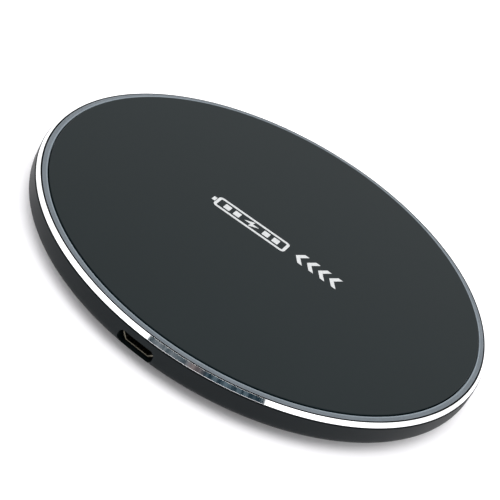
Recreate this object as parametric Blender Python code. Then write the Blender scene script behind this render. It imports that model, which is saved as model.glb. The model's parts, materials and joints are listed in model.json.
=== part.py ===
"""A round wireless charging pad, as its separate pieces.

Frame: the origin is on the resting plane under the pad's centre, +Z points up out of the charging face and
-Y points out of the micro-USB socket. All values are in metres.
"""

import math

import bmesh
import bpy
from mathutils import Vector

MM = 0.001

# Driving dimensions of the whole pad.
PAD_RADIUS = 50.0 * MM
PAD_HEIGHT = 8.0 * MM
FOOT_STAND = 0.8 * MM  # how far the rubber foot lifts the case off the table
FACE_RADIUS = 47.55 * MM
LIGHT_RADIUS = 48.85 * MM
BEZEL_INNER_RADIUS = 49.15 * MM
BEZEL_RADIUS = 49.8 * MM
LIGHT_STEP = 0.25 * MM  # the light ring's inner edge lies this far below the charging face
RIM_STEP = 0.35 * MM  # its outer edge and the bezel's inner edge lie this far below the face
BEZEL_DROP = 1.1 * MM  # the bright chamfer ends this far below the charging face
SOCKET_HEIGHT = 4.0 * MM  # centre of the USB socket above the table
SCREW_CIRCLE = 34.5 * MM
SCREW_ANGLES = (45, 135, 225, 315)

# Clearances: between stacked layers, between parts side by side, and round the charging face.
LAYER_GAP = 0.05 * MM
SIDE_GAP = 0.2 * MM
FACE_GAP = 0.12 * MM
RIM_GROOVE = 0.25 * MM  # the height and depth of the shadow line between the bezel and the case

# How far a body is sunk into the one it joins, and how far a cutter reaches past what it cuts.
SINK = 0.3 * MM
PAST = 1.0 * MM

# Levels of the stack, from the table up.
CASE_BOTTOM = FOOT_STAND
CASE_FLOOR = CASE_BOTTOM + 1.2 * MM
BOARD_BOTTOM = 2.95 * MM
BOARD_TOP = BOARD_BOTTOM + 0.8 * MM
CUP_BOTTOM = 3.8 * MM
CUP_FLOOR = CUP_BOTTOM + 0.6 * MM
FERRITE_BOTTOM = 4.65 * MM
FERRITE_TOP = 5.7 * MM
COIL_CENTRE = 6.28 * MM
FRAME_BOTTOM = 5.9 * MM
FRAME_TOP = 6.6 * MM
FACE_BOTTOM = 6.9 * MM
BEZEL_BOTTOM = 6.85 * MM
CASE_RIM = BEZEL_BOTTOM - RIM_GROOVE

# The case's side: a wall that leans in a little at its top, and rolls under to the bottom on a superellipse.
WALL_LEAN = 0.25 * MM
ROLL_START = 4.3 * MM
ROLL_REACH = 13.0 * MM
ROLL_POWER = 3.0
CASE_WALL = 1.4 * MM

# The bezel's skirt goes down inside the case's rim, behind a tongue that darkens the shadow line.
BEZEL_SKIRT = 0.15 * MM
TONGUE_RADIUS = BEZEL_RADIUS - RIM_GROOVE
BEZEL_SKIRT_BOTTOM = FRAME_BOTTOM + 0.1 * MM
EDGE_BREAK = 0.05 * MM  # sharp metal and plastic edges are broken by this much

# The light guide's leg stands beside the LEDs, and is notched over the socket.
LIGHT_LEG = (46.4 * MM, 47.4 * MM)
LIGHT_LEG_BOTTOM = BOARD_TOP + 0.25 * MM
LIGHT_NOTCH_HALF = 4.8 * MM
LIGHT_NOTCH_TOP = 5.75 * MM

# Openings in the case.
FOOT_GROOVE = (32.5 * MM, 36.5 * MM)
FOOT_TOP = CASE_BOTTOM + 0.5 * MM
FOOT_CLEARANCE = 0.1 * MM
SOCKET_SLOT = (7.9 * MM, 2.75 * MM, 1.1 * MM)  # width, height and corner radius
SOCKET_SLOT_END = -45.0 * MM  # the slot is cut from outside as far in as this Y
VENT_COUNT = 12
VENT_SIZE = (1.0 * MM, 4.0 * MM)
VENT_CIRCLE = 27.5 * MM

# The screws and the bosses that they join.
SCREW_HEAD_RADIUS = 1.7 * MM
SCREW_HEAD_BOTTOM = FOOT_TOP + LAYER_GAP
SCREW_HEAD_TOP = 2.1 * MM
SCREW_RECESS = (0.5 * MM, 0.7 * MM, 0.25 * MM)  # radius inside, radius at the rim, depth
SCREW_SHANK_RADIUS = 0.9 * MM
SCREW_END = FRAME_BOTTOM - 0.5 * MM
CASE_BOSS_RADIUS = 3.0 * MM
CASE_BOSS_TOP = BOARD_BOTTOM - LAYER_GAP
FRAME_BOSS_RADIUS = 2.2 * MM

# The cup in the inner frame, and what lies in it.
CUP_RADIUS = 27.4 * MM
CUP_WALL = 0.8 * MM
FRAME_RADIUS = LIGHT_LEG[0] - SIDE_GAP
FERRITE_RADIUS = 24.3 * MM
FERRITE_TAPE_RADIUS = 23.5 * MM
FOAM_RADIUS = 24.0 * MM
COVER_TAPE_INNER = 44.0 * MM
LEAD_NOTCH_HALF = 3.0 * MM  # both leads leave the cup through a notch this wide each side
LEAD_NOTCH_TOP = 5.97 * MM
LEAD_LOOP = (2.9 * MM, -8.3 * MM)  # where the coil's inner end dips through the ferrite
LEAD_LOOP_RADIUS = 2.6 * MM
LEAD_SLOT_HALF = 0.75 * MM

# Round pieces.
BIG_ROUND = 60
MEDIUM_ROUND = 48
PAD_ROUND = 36
SMALL_ROUND = 16
SCREW_ROUND = 12

# The charging coil.
WIRE_RADIUS = 0.46 * MM
COIL_OUTER = 22.0 * MM
COIL_INNER = 10.4 * MM
COIL_TURNS = 10
COIL_POINTS_PER_TURN = 20
COIL_START_DEGREES = -84.0
LEAD_OFFSET = 1.6 * MM  # the two leads leave side by side at plus and minus this X
LEAD_PAD_Y = -31.8 * MM

# The circuit board.
BOARD_INNER = 29.5 * MM
BOARD_OUTER = 46.0 * MM
LED_CIRCLE = 45.0 * MM
LED_COUNT = 8

# The micro-USB socket. Its shell is a rectangle with its two lower corners cut off, as the plug's are.
SHELL_WIDTH = 7.5 * MM
SHELL_HEIGHT = 2.45 * MM
SHELL_WALL = 0.25 * MM
SHELL_FRONT = -48.4 * MM
SHELL_BACK = -43.7 * MM
SHELL_CORNER = 0.35 * MM
SHELL_CUT = (1.0 * MM, 1.1 * MM)
TAB_REACH = 1.2 * MM
TAB_LENGTH = 1.4 * MM
TAB_THICKNESS = 0.25 * MM
BLOCK_LENGTH = 1.2 * MM
TONGUE_HALF = 1.85 * MM
TONGUE_LOW = SOCKET_HEIGHT + 0.05 * MM
TONGUE_HIGH = SOCKET_HEIGHT + 0.6 * MM
TONGUE_FRONT = SHELL_FRONT + 0.9 * MM
CONTACT_COUNT = 5
CONTACT_PITCH = 0.65 * MM
CONTACT_WIDTH = 0.4 * MM
CONTACT_THICKNESS = 0.12 * MM
CONTACT_FRONT = TONGUE_FRONT + 0.3 * MM
CONTACT_PLAY = 0.04 * MM

WELD = 1e-7  # points closer than this, in metres, are merged


# ---------------------------------------------------------------- tools


def clear_scene():
    for thing in list(bpy.data.objects):
        bpy.data.objects.remove(thing)


def material(name, colour, roughness, metallic=0.0):
    """A Principled material; colour is linear RGB."""
    made = bpy.data.materials.new(name)
    made.use_nodes = True
    shader = made.node_tree.nodes["Principled BSDF"]
    shader.inputs["Base Color"].default_value = (*colour, 1.0)
    shader.inputs["Roughness"].default_value = roughness
    shader.inputs["Metallic"].default_value = metallic
    return made


def new_object(name, mesh, finish=None):
    """Links a bmesh into the scene as an object, with outward normals and smooth round faces."""
    bmesh.ops.recalc_face_normals(mesh, faces=mesh.faces)
    data = bpy.data.meshes.new(name)
    mesh.to_mesh(data)
    mesh.free()
    data.shade_smooth()
    data.set_sharp_from_angle(angle=math.radians(30))
    made = bpy.data.objects.new(name, data)
    bpy.context.scene.collection.objects.link(made)
    if finish:
        data.materials.append(finish)
    return made


def spin_profile(mesh, profile, segments, centre=(0.0, 0.0)):
    """Turns (radius, height) points about a vertical axis, and closes an outline that is off the axis."""
    cx, cy = centre
    points = [mesh.verts.new((cx + radius, cy, height)) for radius, height in profile]
    pairs = list(zip(points, points[1:]))
    if profile[0][0] > 0 or profile[-1][0] > 0:
        pairs.append((points[-1], points[0]))
    edges = [mesh.edges.new(pair) for pair in pairs]
    bmesh.ops.spin(
        mesh,
        geom=points + edges,
        axis=(0, 0, 1),
        cent=(cx, cy, 0),
        angle=math.tau,
        steps=segments,
        use_merge=True,
    )
    bmesh.ops.remove_doubles(mesh, verts=mesh.verts, dist=WELD)


def turned(name, profile, finish=None, segments=BIG_ROUND):
    mesh = bmesh.new()
    spin_profile(mesh, profile, segments)
    return new_object(name, mesh, finish)


def add_cylinder(mesh, radius, low, high, centre, segments=SMALL_ROUND):
    spin_profile(mesh, [(0, low), (radius, low), (radius, high), (0, high)], segments, centre)


def add_prism(mesh, outline, direction):
    """Extrudes a flat outline of points along a vector."""
    face = mesh.faces.new([mesh.verts.new(point) for point in outline])
    grown = bmesh.ops.extrude_face_region(mesh, geom=[face])
    moved = [v for v in grown["geom"] if isinstance(v, bmesh.types.BMVert)]
    bmesh.ops.translate(mesh, verts=moved, vec=direction)


def add_box(mesh, low, high):
    (x0, y0, z0), (x1, y1, z1) = low, high
    add_prism(mesh, [(x0, y0, z0), (x1, y0, z0), (x1, y1, z0), (x0, y1, z0)], (0, 0, z1 - z0))


def helper(name, mesh):
    """A cutter or an addition for a Boolean, left out of the model itself."""
    made = new_object(name, mesh)
    made.hide_render = True
    made.display_type = "WIRE"
    return made


def combine(target, other, operation):
    modifier = target.modifiers.new(other.name, "BOOLEAN")
    modifier.operation = operation
    modifier.object = other
    modifier.solver = "EXACT"


def bevel(target, width, segments=1):
    modifier = target.modifiers.new("edge", "BEVEL")
    modifier.width = width
    modifier.segments = segments
    modifier.limit_method = "ANGLE"


def polar(radius, degrees, height=0.0):
    angle = math.radians(degrees)
    return Vector((radius * math.cos(angle), radius * math.sin(angle), height))


def rounded_rectangle(width, height, corner, steps=4):
    """Points of a rectangle with round corners, centred on 0, anticlockwise."""
    points = []
    for turn, (sx, sy) in enumerate(((1, 1), (-1, 1), (-1, -1), (1, -1))):
        centre_x, centre_y = sx * (width / 2 - corner), sy * (height / 2 - corner)
        for step in range(steps + 1):
            angle = math.radians(90 * turn + 90 * step / steps)
            points.append((centre_x + corner * math.cos(angle), centre_y + corner * math.sin(angle)))
    return points


# ---------------------------------------------------------------- outer shells


def rolled_side(radius, start, end, reach, steps):
    """The side's roll from the straight wall at (radius, start) in to the flat at (radius - reach, end)."""
    points = []
    for step in range(steps + 1):
        angle = math.pi / 2 * step / steps
        inwards = reach * (1 - math.cos(angle) ** (2 / ROLL_POWER))
        down = (start - end) * math.sin(angle) ** (2 / ROLL_POWER)
        points.append((radius - inwards, start - down))
    return points


def leaning_wall(steps):
    """The outer wall from above the roll to the rim, curving in by WALL_LEAN."""
    points = []
    for step in range(1, steps + 1):
        share = step / steps
        points.append((PAD_RADIUS - WALL_LEAN * share**2, ROLL_START + (CASE_RIM - ROLL_START) * share))
    return points


def case_profile():
    """The bowl's section: up the outer roll and wall, over the stepped rim, and down the inside."""
    outer = rolled_side(PAD_RADIUS, ROLL_START, CASE_BOTTOM, ROLL_REACH, 8)
    inner_start = ROLL_START + SIDE_GAP
    inner = rolled_side(PAD_RADIUS - CASE_WALL, inner_start, CASE_FLOOR, ROLL_REACH - CASE_WALL, 3)
    rebate_radius = BEZEL_INNER_RADIUS + BEZEL_SKIRT + LAYER_GAP
    rebate = FRAME_BOTTOM
    groove_in, groove_out = FOOT_GROOVE
    under = [
        (groove_in, CASE_BOTTOM),
        (groove_in, FOOT_TOP),
        (groove_out, FOOT_TOP),
        (groove_out, CASE_BOTTOM),
    ]
    rim = [
        *leaning_wall(2),
        (TONGUE_RADIUS, CASE_RIM),
        (TONGUE_RADIUS, BEZEL_BOTTOM - LAYER_GAP),
        (rebate_radius, BEZEL_BOTTOM - LAYER_GAP),
        (rebate_radius, rebate),
        (PAD_RADIUS - CASE_WALL, rebate),
    ]
    return [(0, CASE_BOTTOM), *under, *outer[::-1], *rim, *inner, (0, CASE_FLOOR)]


def make_case(finish):
    """The bowl, with bosses and counterbored holes for the screws, vents below and the socket's slot."""
    case = turned("lower_case", case_profile(), finish)
    bosses = bmesh.new()
    for degrees in SCREW_ANGLES:
        place = polar(SCREW_CIRCLE, degrees)[:2]
        add_cylinder(bosses, CASE_BOSS_RADIUS, CASE_FLOOR - SINK, CASE_BOSS_TOP, place)
    combine(case, helper("case_bosses", bosses), "UNION")
    cuts = bmesh.new()
    counterbore, hole = SCREW_HEAD_RADIUS + SIDE_GAP, SCREW_SHANK_RADIUS + SIDE_GAP
    step, end = SCREW_HEAD_TOP + LAYER_GAP, CASE_BOSS_TOP + PAST
    outline = [(0, 0), (counterbore, 0), (counterbore, step), (hole, step), (hole, end), (0, end)]
    for degrees in SCREW_ANGLES:
        spin_profile(cuts, outline, SMALL_ROUND, polar(SCREW_CIRCLE, degrees)[:2])
    combine(case, helper("case_screw_holes", cuts), "DIFFERENCE")
    vents = bmesh.new()
    for vent in range(VENT_COUNT):
        along = polar(1.0, 360 * (vent + 0.5) / VENT_COUNT)
        across = Vector((-along.y, along.x, 0))
        width, length = VENT_SIZE
        outline = [
            along * (VENT_CIRCLE + y) + across * x
            for x, y in rounded_rectangle(width, length, 0.4 * width, steps=1)
        ]
        add_prism(vents, outline, (0, 0, CASE_FLOOR + PAST))
    combine(case, helper("case_vents", vents), "DIFFERENCE")
    slot = bmesh.new()
    outside = -PAD_RADIUS - PAST
    outline = [(x, outside, SOCKET_HEIGHT + z) for x, z in rounded_rectangle(*SOCKET_SLOT)]
    add_prism(slot, outline, (0, SOCKET_SLOT_END - outside, 0))
    combine(case, helper("case_socket_slot", slot), "DIFFERENCE")


def make_bezel(finish):
    """The bright trim ring: a chamfer outside, and a thin skirt that sits in the case's rebate."""
    skirt = BEZEL_INNER_RADIUS + BEZEL_SKIRT
    top = PAD_HEIGHT - RIM_STEP
    turned(
        "bezel_ring",
        [
            (BEZEL_INNER_RADIUS, BEZEL_SKIRT_BOTTOM),
            (skirt, BEZEL_SKIRT_BOTTOM),
            (skirt, BEZEL_BOTTOM),
            (BEZEL_RADIUS, BEZEL_BOTTOM),
            (BEZEL_RADIUS, PAD_HEIGHT - BEZEL_DROP),
            (BEZEL_INNER_RADIUS + EDGE_BREAK, top),
            (BEZEL_INNER_RADIUS, top - EDGE_BREAK),
        ],
        finish,
    )


def make_light_ring(finish):
    """The frosted light guide: a domed ring round the face, a ledge under it, and a leg beside the LEDs."""
    leg_in, leg_out = LIGHT_LEG
    under = FRAME_BOTTOM + LAYER_GAP
    inner, top = FACE_RADIUS + FACE_GAP, PAD_HEIGHT - LIGHT_STEP
    edge = PAD_HEIGHT - RIM_STEP
    middle, crown = (inner + LIGHT_RADIUS) / 2, top - 0.3 * (top - edge)
    ring = turned(
        "light_ring",
        [
            (leg_in, LIGHT_LEG_BOTTOM),
            (leg_out, LIGHT_LEG_BOTTOM),
            (leg_out, under),
            (LIGHT_RADIUS, under),
            (LIGHT_RADIUS, edge),
            (middle, crown),
            (inner, top),
            (inner, FRAME_TOP),
            (leg_in, FRAME_TOP),
        ],
        finish,
    )
    notch = bmesh.new()
    low = (-LIGHT_NOTCH_HALF, -leg_out - PAST, LIGHT_LEG_BOTTOM - PAST)
    high = (LIGHT_NOTCH_HALF, -leg_in + PAST, LIGHT_NOTCH_TOP)
    add_box(notch, low, high)
    combine(ring, helper("light_ring_socket_notch", notch), "DIFFERENCE")


def make_face(cover_finish, tape_finish):
    """The charging face, and the tape that holds it down on the frame and the light ring's ledge."""
    edge = 0.15 * MM
    turned(
        "top_cover",
        [
            (0, FACE_BOTTOM),
            (FACE_RADIUS, FACE_BOTTOM),
            (FACE_RADIUS, PAD_HEIGHT - edge),
            (FACE_RADIUS - edge, PAD_HEIGHT),
            (0, PAD_HEIGHT),
        ],
        cover_finish,
    )
    inner, outer = COVER_TAPE_INNER, FACE_RADIUS - SIDE_GAP
    low, high = FRAME_TOP + LAYER_GAP, FACE_BOTTOM - LAYER_GAP
    turned("cover_tape", [(inner, low), (outer, low), (outer, high), (inner, high)], tape_finish)


def make_foot(finish):
    """The silicone anti-slip ring, pressed into the groove under the case."""
    inner, outer = FOOT_GROOVE[0] + FOOT_CLEARANCE, FOOT_GROOVE[1] - FOOT_CLEARANCE
    top, edge = FOOT_TOP - LAYER_GAP, 0.3 * MM
    turned(
        "foot_ring",
        [(inner + edge, 0), (outer - edge, 0), (outer, edge), (outer, top), (inner, top), (inner, edge)],
        finish,
    )


def make_screws(finish):
    """Four self-tapping screws, driven from below through the case into the inner frame."""
    recess_in, recess_out, recess_depth = SCREW_RECESS
    edge, point = 0.3 * MM, 0.5 * MM
    profile = [
        (0, SCREW_HEAD_BOTTOM + recess_depth),
        (recess_in, SCREW_HEAD_BOTTOM + recess_depth),
        (recess_out, SCREW_HEAD_BOTTOM),
        (SCREW_HEAD_RADIUS - edge, SCREW_HEAD_BOTTOM),
        (SCREW_HEAD_RADIUS, SCREW_HEAD_BOTTOM + edge),
        (SCREW_HEAD_RADIUS, SCREW_HEAD_TOP),
        (SCREW_SHANK_RADIUS, SCREW_HEAD_TOP),
        (SCREW_SHANK_RADIUS, SCREW_END - point),
        (0, SCREW_END),
    ]
    for number, degrees in enumerate(SCREW_ANGLES, start=1):
        screw = bmesh.new()
        spin_profile(screw, profile, SCREW_ROUND)
        made = new_object(f"case_screw_{number}", screw, finish)
        made.location = polar(SCREW_CIRCLE, degrees)


# ---------------------------------------------------------------- inner frame, coil and ferrite


def make_inner_frame(finish):
    """The tray under the face: a plate with a round cup for the coil and four screw bosses below it."""
    cup_outer = CUP_RADIUS + CUP_WALL
    frame = turned(
        "inner_frame",
        [
            (0, CUP_BOTTOM),
            (cup_outer, CUP_BOTTOM),
            (cup_outer, FRAME_BOTTOM),
            (FRAME_RADIUS, FRAME_BOTTOM),
            (FRAME_RADIUS, FRAME_TOP),
            (CUP_RADIUS, FRAME_TOP),
            (CUP_RADIUS, CUP_FLOOR),
            (0, CUP_FLOOR),
        ],
        finish,
    )
    bosses = bmesh.new()
    cuts = bmesh.new()
    bore, bore_end = SCREW_SHANK_RADIUS + 0.1 * MM, SCREW_END + 0.3 * MM
    for degrees in SCREW_ANGLES:
        place = polar(SCREW_CIRCLE, degrees)[:2]
        add_cylinder(bosses, FRAME_BOSS_RADIUS, CASE_BOSS_TOP + LAYER_GAP, FRAME_BOTTOM + SINK, place)
        add_cylinder(cuts, bore, CASE_BOSS_TOP - PAST, bore_end, place)
    combine(frame, helper("frame_bosses", bosses), "UNION")
    low = (-LEAD_NOTCH_HALF, -cup_outer - PAST, CUP_FLOOR + SIDE_GAP)
    high = (LEAD_NOTCH_HALF, -CUP_RADIUS + PAST, LEAD_NOTCH_TOP)
    add_box(cuts, low, high)
    combine(frame, helper("frame_bores_and_lead_notch", cuts), "DIFFERENCE")


def smooth_route(points, steps):
    """A Catmull-Rom curve through points, sampled steps times between each two."""
    ends = [points[0] * 2 - points[1], *points, points[-1] * 2 - points[-2]]
    route = []
    for p0, p1, p2, p3 in zip(ends, ends[1:], ends[2:], ends[3:]):
        for step in range(steps):
            t = step / steps
            slope = p2 - p0
            square = 2 * p0 - 5 * p1 + 4 * p2 - p3
            cube = 3 * p1 - p0 - 3 * p2 + p3
            route.append(0.5 * (2 * p1 + slope * t + square * t**2 + cube * t**3))
    return [*route, points[-1]]


def coil_route():
    """One wire: in from the board, round the flat spiral, and out under the turns in the ferrite's slot."""
    spiral = []
    count = COIL_TURNS * COIL_POINTS_PER_TURN
    for step in range(count + 1):
        share = step / count
        radius = COIL_OUTER + (COIL_INNER - COIL_OUTER) * share
        spiral.append(polar(radius, COIL_START_DEGREES + 360 * COIL_TURNS * share, COIL_CENTRE))
    x, pad = LEAD_OFFSET, BOARD_TOP + WIRE_RADIUS + 0.1 * MM
    lead_in = [
        Vector((-x, LEAD_PAD_Y, pad)),
        Vector((-x, -30.2 * MM, 4.8 * MM)),
        Vector((-x, -28.6 * MM, 5.3 * MM)),
        Vector((-x, -27.0 * MM, 5.45 * MM)),
        Vector((-x, -25.9 * MM, 5.85 * MM)),
        Vector((-x + 0.1 * MM, -24.6 * MM, 6.24 * MM)),
        Vector((-x + 0.8 * MM, -23.2 * MM, COIL_CENTRE)),
        Vector((0.5 * MM, -22.35 * MM, COIL_CENTRE)),
    ]
    under = 5.2 * MM
    lead_out = [
        Vector((2.7 * MM, -9.75 * MM, 6.2 * MM)),
        Vector((4.0 * MM, -8.7 * MM, 6.0 * MM)),
        Vector((4.2 * MM, -7.5 * MM, 5.7 * MM)),
        Vector((3.2 * MM, -6.7 * MM, 5.4 * MM)),
        Vector((2.0 * MM, -7.3 * MM, under)),
        Vector((x, -9.0 * MM, under)),
        Vector((x, -14.0 * MM, under)),
        Vector((x, -20.0 * MM, under)),
        Vector((x, -27.5 * MM, under)),
        Vector((x, -29.3 * MM, 5.0 * MM)),
        Vector((x, LEAD_PAD_Y, pad)),
    ]
    start = smooth_route([*lead_in, spiral[0], spiral[1]], 2)[:-3]
    end = smooth_route([spiral[-2], spiral[-1], *lead_out], 3)[4:]
    return [*start, *spiral, *end]


def make_coil(finish):
    """The wire as a curve with a round section and filled ends."""
    curve = bpy.data.curves.new("coil_winding", "CURVE")
    curve.dimensions = "3D"
    curve.bevel_depth = WIRE_RADIUS
    curve.bevel_resolution = 1
    curve.use_fill_caps = True
    route = coil_route()
    line = curve.splines.new("POLY")
    line.points.add(len(route) - 1)
    for point, place in zip(line.points, route):
        point.co = (*place, 1.0)
    curve.materials.append(finish)
    bpy.context.scene.collection.objects.link(bpy.data.objects.new("coil_winding", curve))


def make_ferrite(ferrite_finish, tape_finish, foam_finish):
    """The ferrite with its keyhole for the inner lead, the tape under it, and the foam under the cup."""
    low, high = FERRITE_BOTTOM, FERRITE_TOP
    edge = 0.15 * MM
    outline = [
        (0, low),
        (FERRITE_RADIUS, low),
        (FERRITE_RADIUS, high - edge),
        (FERRITE_RADIUS - edge, high),
        (0, high),
    ]
    ferrite = turned("ferrite_plate", outline, ferrite_finish, MEDIUM_ROUND)
    hole = bmesh.new()
    add_cylinder(hole, LEAD_LOOP_RADIUS, low - PAST, high + PAST, LEAD_LOOP)
    combine(ferrite, helper("ferrite_lead_hole", hole), "DIFFERENCE")
    slot = bmesh.new()
    corner = (LEAD_OFFSET - LEAD_SLOT_HALF, -FERRITE_RADIUS - PAST, low - PAST)
    add_box(slot, corner, (LEAD_OFFSET + LEAD_SLOT_HALF, LEAD_LOOP[1], high + PAST))
    combine(ferrite, helper("ferrite_lead_slot", slot), "DIFFERENCE")

    def disc(name, radius, low, high, finish):
        turned(name, [(0, low), (radius, low), (radius, high), (0, high)], finish, PAD_ROUND)

    tape_low, tape_high = CUP_FLOOR + LAYER_GAP, FERRITE_BOTTOM - LAYER_GAP
    disc("ferrite_tape", FERRITE_TAPE_RADIUS, tape_low, tape_high, tape_finish)
    disc("support_foam", FOAM_RADIUS, CASE_FLOOR + LAYER_GAP, CUP_BOTTOM - LAYER_GAP, foam_finish)


# ---------------------------------------------------------------- circuit board


def make_board(finish):
    """A ring-shaped board with holes for the frame's bosses and a notch that the socket sinks into."""
    low, high = BOARD_BOTTOM, BOARD_TOP
    outline = [(BOARD_INNER, low), (BOARD_OUTER, low), (BOARD_OUTER, high), (BOARD_INNER, high)]
    board = turned("main_board", outline, finish)
    holes = bmesh.new()
    for degrees in SCREW_ANGLES:
        place = polar(SCREW_CIRCLE, degrees)[:2]
        add_cylinder(holes, FRAME_BOSS_RADIUS + 0.3 * MM, low - PAST, high + PAST, place)
    half = SHELL_WIDTH / 2 + 0.3 * MM
    add_box(holes, (-half, -BOARD_OUTER - PAST, low - PAST), (half, SHELL_BACK + SIDE_GAP, high + PAST))
    combine(board, helper("board_holes", holes), "DIFFERENCE")


def chip(name, size, radius, degrees, finish, edge=0.08 * MM):
    """A component on the board: size is along the rim, towards the centre, and up."""
    body = bmesh.new()
    along, inward, height = size
    add_box(body, (-inward / 2, -along / 2, 0), (inward / 2, along / 2, height))
    made = new_object(name, body, finish)
    made.location = polar(radius, degrees, BOARD_TOP + LAYER_GAP)
    made.rotation_euler.z = math.radians(degrees)
    bevel(made, edge)
    return made


def make_controller(finish):
    """The control chip, with the moulded dot by its first terminal."""
    controller = chip("controller_chip", (5.0 * MM, 5.0 * MM, 0.9 * MM), 37.0 * MM, -63, finish)
    dimple = bmesh.new()
    dot_radius, dot_floor, dot_place = 0.35 * MM, 0.75 * MM, (-1.8 * MM, 1.8 * MM)
    add_cylinder(dimple, dot_radius, dot_floor, dot_floor + PAST, dot_place, SCREW_ROUND)
    mark = helper("controller_dot", dimple)
    mark.location = controller.location
    mark.rotation_euler = controller.rotation_euler
    combine(controller, mark, "DIFFERENCE")


def make_inductor(finish):
    """The shielded power inductor, with a round groove in its top."""
    inductor = chip("power_inductor", (7.0 * MM, 7.0 * MM, 1.9 * MM), 37.5 * MM, -15, finish, 0.6 * MM)
    ring = bmesh.new()
    inner, outer, floor = 2.1 * MM, 2.6 * MM, 1.6 * MM
    top = floor + PAST
    spin_profile(ring, [(inner, floor), (outer, floor), (outer, top), (inner, top)], SMALL_ROUND)
    groove = helper("inductor_groove", ring)
    groove.location = inductor.location
    combine(inductor, groove, "DIFFERENCE")


def make_components(chip_finish, ceramic_finish, metal_finish, led_finish, resistor_finish):
    """What the board carries, each placed by its distance from the centre and its direction in degrees."""
    make_controller(chip_finish)
    make_inductor(metal_finish)
    bridge_size = (3.3 * MM, 3.3 * MM, 0.8 * MM)
    bridge_places = ((34.0 * MM, -108), (34.0 * MM, -117), (39.0 * MM, -107), (39.0 * MM, -115))
    for number, (radius, degrees) in enumerate(bridge_places, start=1):
        chip(f"bridge_transistor_{number}", bridge_size, radius, degrees, chip_finish)
    round_edge = 0.2 * MM
    resonant_size = (3.2 * MM, 5.6 * MM, 1.8 * MM)
    for number, degrees in enumerate((160, 168, 176, 184), start=1):
        name = f"resonant_capacitor_{number}"
        chip(name, resonant_size, 37.5 * MM, degrees, ceramic_finish, round_edge)
    input_size = (2.5 * MM, 3.2 * MM, 1.6 * MM)
    for number, radius in enumerate((33.5 * MM, 38.0 * MM), start=1):
        chip(f"input_capacitor_{number}", input_size, radius, -81, ceramic_finish, round_edge)
    chip("crystal", (3.2 * MM, 2.5 * MM, 0.8 * MM), 42.0 * MM, -58, metal_finish, 0.15 * MM)
    chip("sense_resistor", (3.2 * MM, 1.6 * MM, 0.5 * MM), 42.0 * MM, -112, resistor_finish)
    chip("thermistor", (1.6 * MM, 0.8 * MM, 0.5 * MM), 30.6 * MM, 90, resistor_finish)
    chip("voltage_regulator", (2.9 * MM, 2.6 * MM, 1.1 * MM), 35.0 * MM, -28, chip_finish)
    chip("surge_diode", (2.6 * MM, 1.6 * MM, 1.0 * MM), 41.0 * MM, -80, chip_finish)
    led_size = (3.0 * MM, 1.2 * MM, 0.9 * MM)
    for number in range(LED_COUNT):
        degrees = 360 * (number + 0.5) / LED_COUNT
        chip(f"led_{number + 1}", led_size, LED_CIRCLE, degrees, led_finish)


# ---------------------------------------------------------------- micro-USB socket


def socket_outline(inset, y):
    """The shell's section, set in by inset, at depth y."""
    half, top, bottom = SHELL_WIDTH / 2 - inset, SHELL_HEIGHT / 2 - inset, -SHELL_HEIGHT / 2 + inset
    (cut_x, cut_z), corner = SHELL_CUT, SHELL_CORNER
    shape = [
        (half, bottom + cut_z),
        (half, top - corner),
        (half - corner, top),
        (-half + corner, top),
        (-half, top - corner),
        (-half, bottom + cut_z),
        (-half + cut_x, bottom),
        (half - cut_x, bottom),
    ]
    return [Vector((x, y, SOCKET_HEIGHT + z)) for x, z in shape]


def make_socket_shell(finish):
    """The sleeve, and a tab on each side that is soldered to the board."""
    sleeve = bmesh.new()
    loops = []
    for inset, y in ((0, SHELL_FRONT), (0, SHELL_BACK), (SHELL_WALL, SHELL_BACK), (SHELL_WALL, SHELL_FRONT)):
        loops.append([sleeve.verts.new(point) for point in socket_outline(inset, y)])
    for first, second in zip(loops, loops[1:] + loops[:1]):
        for at in range(len(first)):
            after = (at + 1) % len(first)
            sleeve.faces.new((first[at], first[after], second[after], second[at]))
    shell = new_object("socket_shell", sleeve, finish)
    tabs = bmesh.new()
    half = SHELL_WIDTH / 2
    back, low = SHELL_BACK - SIDE_GAP, BOARD_TOP + LAYER_GAP
    for left, right in ((-half - TAB_REACH, -half + SINK / 2), (half - SINK / 2, half + TAB_REACH)):
        add_box(tabs, (left, back - TAB_LENGTH, low), (right, back, low + TAB_THICKNESS))
    combine(shell, helper("socket_tabs", tabs), "UNION")


def contact_centre(number):
    """The X of contact number, counted from 0."""
    return (number - (CONTACT_COUNT - 1) / 2) * CONTACT_PITCH


def make_socket_insulator(finish):
    """The plastic block with its tongue, and a channel for each contact."""
    block = bmesh.new()
    block_front = SHELL_BACK - BLOCK_LENGTH
    add_prism(block, socket_outline(SHELL_WALL + 0.06 * MM, block_front), (0, BLOCK_LENGTH, 0))
    insulator = new_object("socket_insulator", block, finish)
    tongue = bmesh.new()
    low, high = (-TONGUE_HALF, TONGUE_FRONT, TONGUE_LOW), (TONGUE_HALF, block_front + SINK, TONGUE_HIGH)
    add_box(tongue, low, high)
    combine(insulator, helper("socket_tongue", tongue), "UNION")
    channels = bmesh.new()
    half = CONTACT_WIDTH / 2 + CONTACT_PLAY
    floor = TONGUE_LOW - CONTACT_THICKNESS - 0.38 * MM
    for number in range(CONTACT_COUNT):
        centre = contact_centre(number)
        low = (centre - half, SHELL_FRONT, floor)
        high = (centre + half, SHELL_BACK + PAST, TONGUE_LOW + CONTACT_PLAY)
        add_box(channels, low, high)
    combine(insulator, helper("socket_contact_channels", channels), "DIFFERENCE")


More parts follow.
